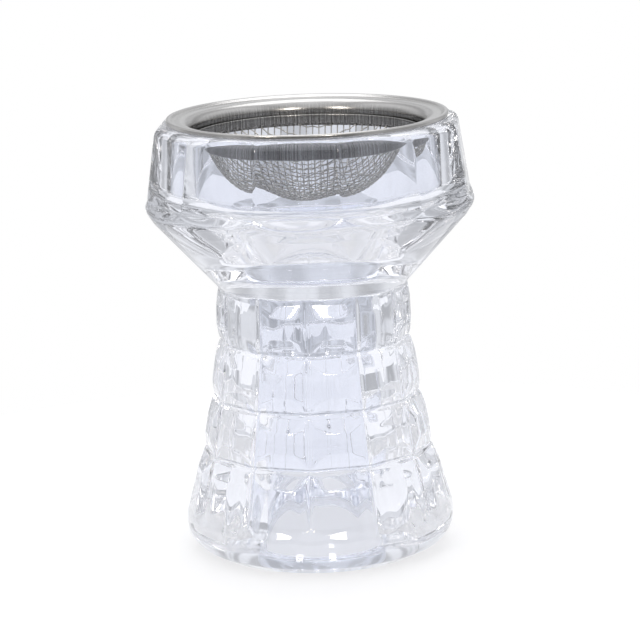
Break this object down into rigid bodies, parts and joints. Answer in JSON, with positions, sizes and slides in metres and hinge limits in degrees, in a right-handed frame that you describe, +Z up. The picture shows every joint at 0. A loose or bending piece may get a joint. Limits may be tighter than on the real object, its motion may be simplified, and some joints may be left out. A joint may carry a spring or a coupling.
{
  "type": "flower frog",
  "caption": "Pressed-crystal flower frog: faceted hollow stem, twelve-sided cup, and a lift-out stainless rim insert with a woven wire bowl.",
  "frame": {"origin": "centre of the underside, on the surface the part stands on", "axes": "+Z up along the axis of the cup; +X and +Y lie in planes through two of the vertical grooves"},
  "size_m": [0.0806, 0.0806, 0.1089],
  "materials": {
    "crystal": "polished clear crystal",
    "rim_steel": "satin stainless",
    "mesh_steel": "bright drawn wire",
    "band_steel": "satin stainless"
  },
  "bodies": {
    "glass": {"glass_body": "crystal"},
    "insert": {"rim_ring": "rim_steel", "mesh_bowl": "mesh_steel", "clamp_band": "band_steel"}
  },
  "joints": [
    {"name": "insert_lift", "type": "slide", "parent": "glass", "child": "insert", "axis": [0, 0, 1], "range_m": [0, 0.03]}
  ]
}
